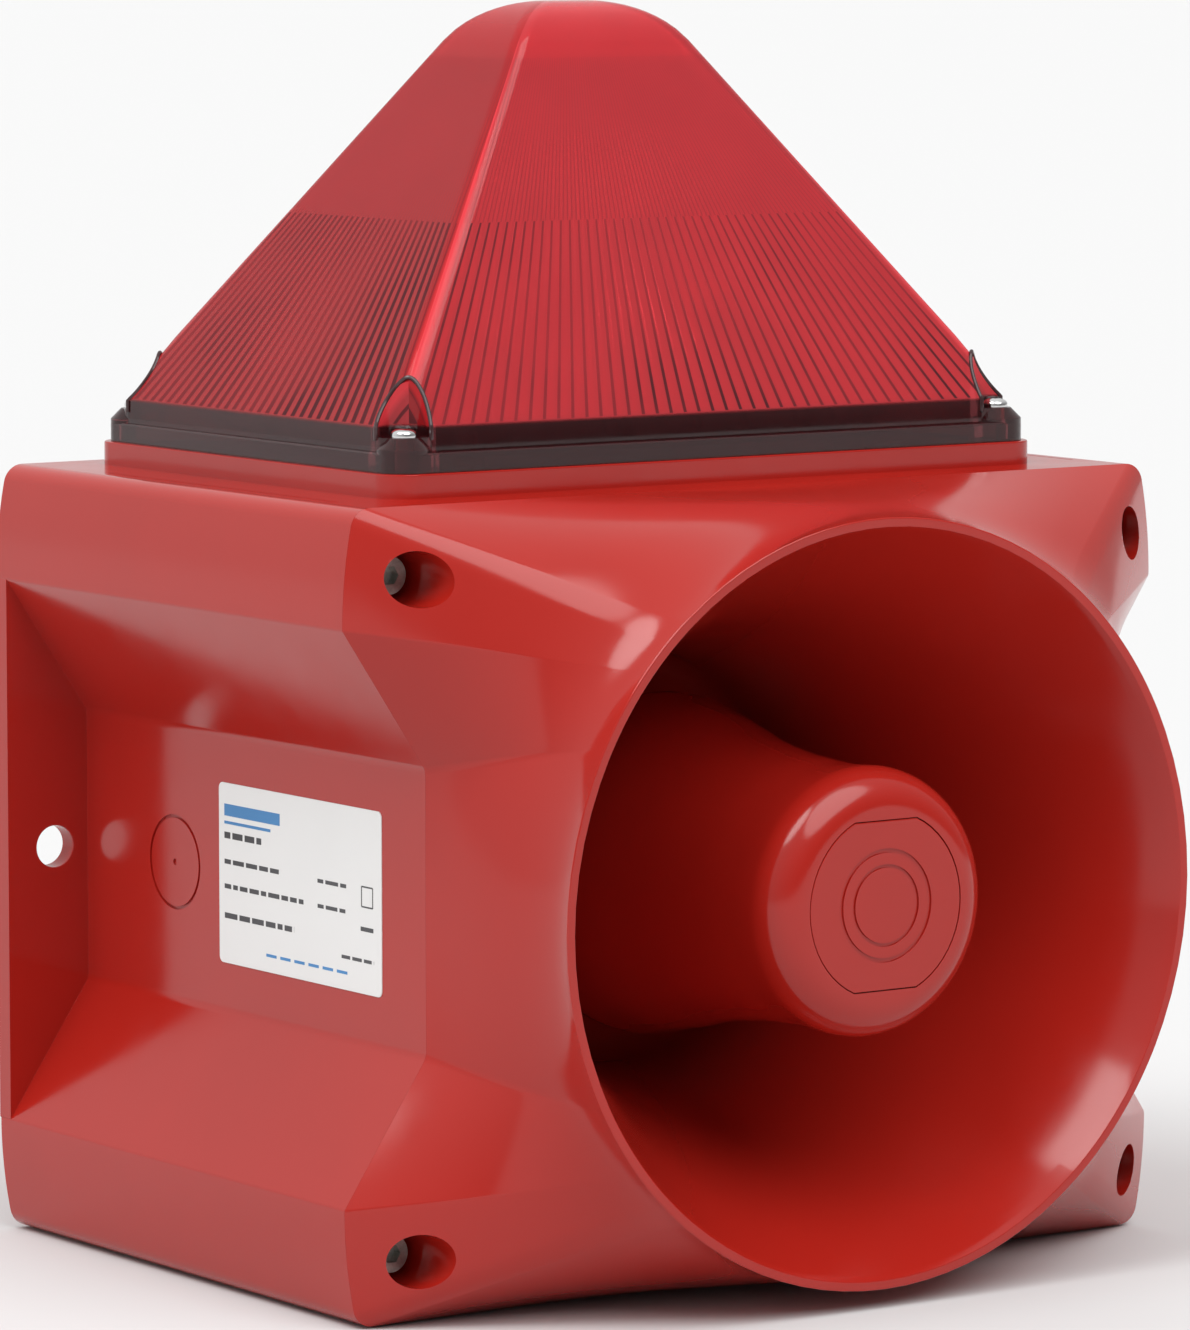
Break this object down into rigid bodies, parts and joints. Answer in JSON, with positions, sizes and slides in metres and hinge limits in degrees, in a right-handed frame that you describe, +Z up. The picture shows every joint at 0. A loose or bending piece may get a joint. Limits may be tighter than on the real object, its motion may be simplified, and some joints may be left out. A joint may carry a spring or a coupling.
{
  "type": "alarm siren",
  "caption": "Wall-mounted red alarm sounder with a re-entrant horn, sloping side recesses and a ribbed flashing beacon on top.",
  "frame": {"origin": "centre of the wall-fixing hole pattern, on the back face that lies against the wall", "axes": "+Z up, the horn faces -Y, +X to the right seen from the front"},
  "size_m": [0.23, 0.2, 0.294],
  "materials": {
    "red_housing_plastic": "glossy moulded signal-red plastic",
    "dark_red_plastic": "same plastic, in the shade of the horn",
    "red_lens_plastic": "clear red plastic with moulded prisms",
    "black_rubber": "matt elastomer",
    "brass": "turned and knurled",
    "stainless_steel": "fine turned",
    "zinc_plated_steel": "zinc plated",
    "ferrite": "ground ceramic magnet",
    "aluminium": "die cast or extruded",
    "black_plastic": "fine matt moulding",
    "circuit_board": "green solder mask",
    "green_plastic": "moulded nylon",
    "label_film": "printed film",
    "switch_red_plastic": "moulded thermoplastic",
    "blue_plastic": "moulded thermoplastic",
    "white_plastic": "moulded thermoplastic",
    "capacitor_sleeve": "shrunk sleeve over an aluminium can",
    "copper_winding": "enamelled copper wire",
    "phenolic_film": "pressed phenolic sheet",
    "tube_glass": "clear quartz glass"
  },
  "bodies": {
    "housing": {"rear_housing": "red_housing_plastic", "cover_inserts": "brass", "cover_gasket": "black_rubber", "rating_label": "label_film", "main_board": "circuit_board", "board_screws": "stainless_steel", "terminal_block": "green_plastic", "terminal_screws": "stainless_steel", "choke": "copper_winding", "reservoir_capacitors": "capacitor_sleeve", "heat_sink": "aluminium", "power_transistors": "black_plastic", "tone_switch": "switch_red_plastic", "volume_control": "blue_plastic", "beacon_base": "red_housing_plastic", "beacon_gasket": "black_rubber", "beacon_screws": "stainless_steel", "lens_inserts": "brass", "lens_gasket": "black_rubber", "flash_board": "circuit_board", "flash_board_screws": "stainless_steel", "tube_holder": "black_plastic", "flash_tube": "tube_glass", "trigger_coil": "copper_winding", "flash_capacitors": "capacitor_sleeve"},
    "cover": {"front_cover": "red_housing_plastic", "horn_flare": "red_housing_plastic", "throat_cone": "dark_red_plastic", "throat_tube": "dark_red_plastic", "bullet_spider": "dark_red_plastic", "horn_bullet": "red_housing_plastic", "bullet_screw": "stainless_steel", "nose_cap": "red_housing_plastic", "cover_screws": "stainless_steel", "screw_seals": "black_rubber", "driver_gasket": "black_rubber", "driver_front": "aluminium", "phase_plug": "black_plastic", "driver_plate": "zinc_plated_steel", "driver_magnet": "ferrite", "driver_yoke": "zinc_plated_steel", "driver_cap": "black_plastic", "driver_screws": "stainless_steel"},
    "diaphragm": {"diaphragm": "phenolic_film", "voice_coil": "copper_winding"},
    "lens": {"lens": "red_lens_plastic", "lens_screws": "stainless_steel"},
    "volume_knob": {"volume_knob": "white_plastic"},
    "slider_1": {"slider_1": "white_plastic"},
    "slider_2": {"slider_2": "white_plastic"},
    "slider_3": {"slider_3": "white_plastic"},
    "slider_4": {"slider_4": "white_plastic"},
    "slider_5": {"slider_5": "white_plastic"},
    "slider_6": {"slider_6": "white_plastic"}
  },
  "joints": [
    {"name": "cover_slide", "type": "slide", "parent": "housing", "child": "cover", "axis": [0, -1, 0], "range_m": [0, 0.16]},
    {"name": "lens_lift", "type": "slide", "parent": "housing", "child": "lens", "axis": [0, 0, 1], "range_m": [0, 0.1]},
    {"name": "diaphragm_travel", "type": "slide", "parent": "cover", "child": "diaphragm", "axis": [0, -1, 0], "range_m": [-0.0004, 0.0004], "stiffness_N_per_m": 3000},
    {"name": "volume_turn", "type": "hinge", "parent": "housing", "child": "volume_knob", "pos_m": [-0.06, -0.0129, -0.024], "axis": [0, -1, 0], "range_deg": [-135, 135]},
    {"name": "slider_1_travel", "type": "slide", "parent": "housing", "child": "slider_1", "axis": [0, 0, 1], "range_m": [0, 0.0016]},
    {"name": "slider_2_travel", "type": "slide", "parent": "housing", "child": "slider_2", "axis": [0, 0, 1], "range_m": [0, 0.0016]},
    {"name": "slider_3_travel", "type": "slide", "parent": "housing", "child": "slider_3", "axis": [0, 0, 1], "range_m": [0, 0.0016]},
    {"name": "slider_4_travel", "type": "slide", "parent": "housing", "child": "slider_4", "axis": [0, 0, 1], "range_m": [0, 0.0016]},
    {"name": "slider_5_travel", "type": "slide", "parent": "housing", "child": "slider_5", "axis": [0, 0, 1], "range_m": [0, 0.0016]},
    {"name": "slider_6_travel", "type": "slide", "parent": "housing", "child": "slider_6", "axis": [0, 0, 1], "range_m": [0, 0.0016]}
  ]
}
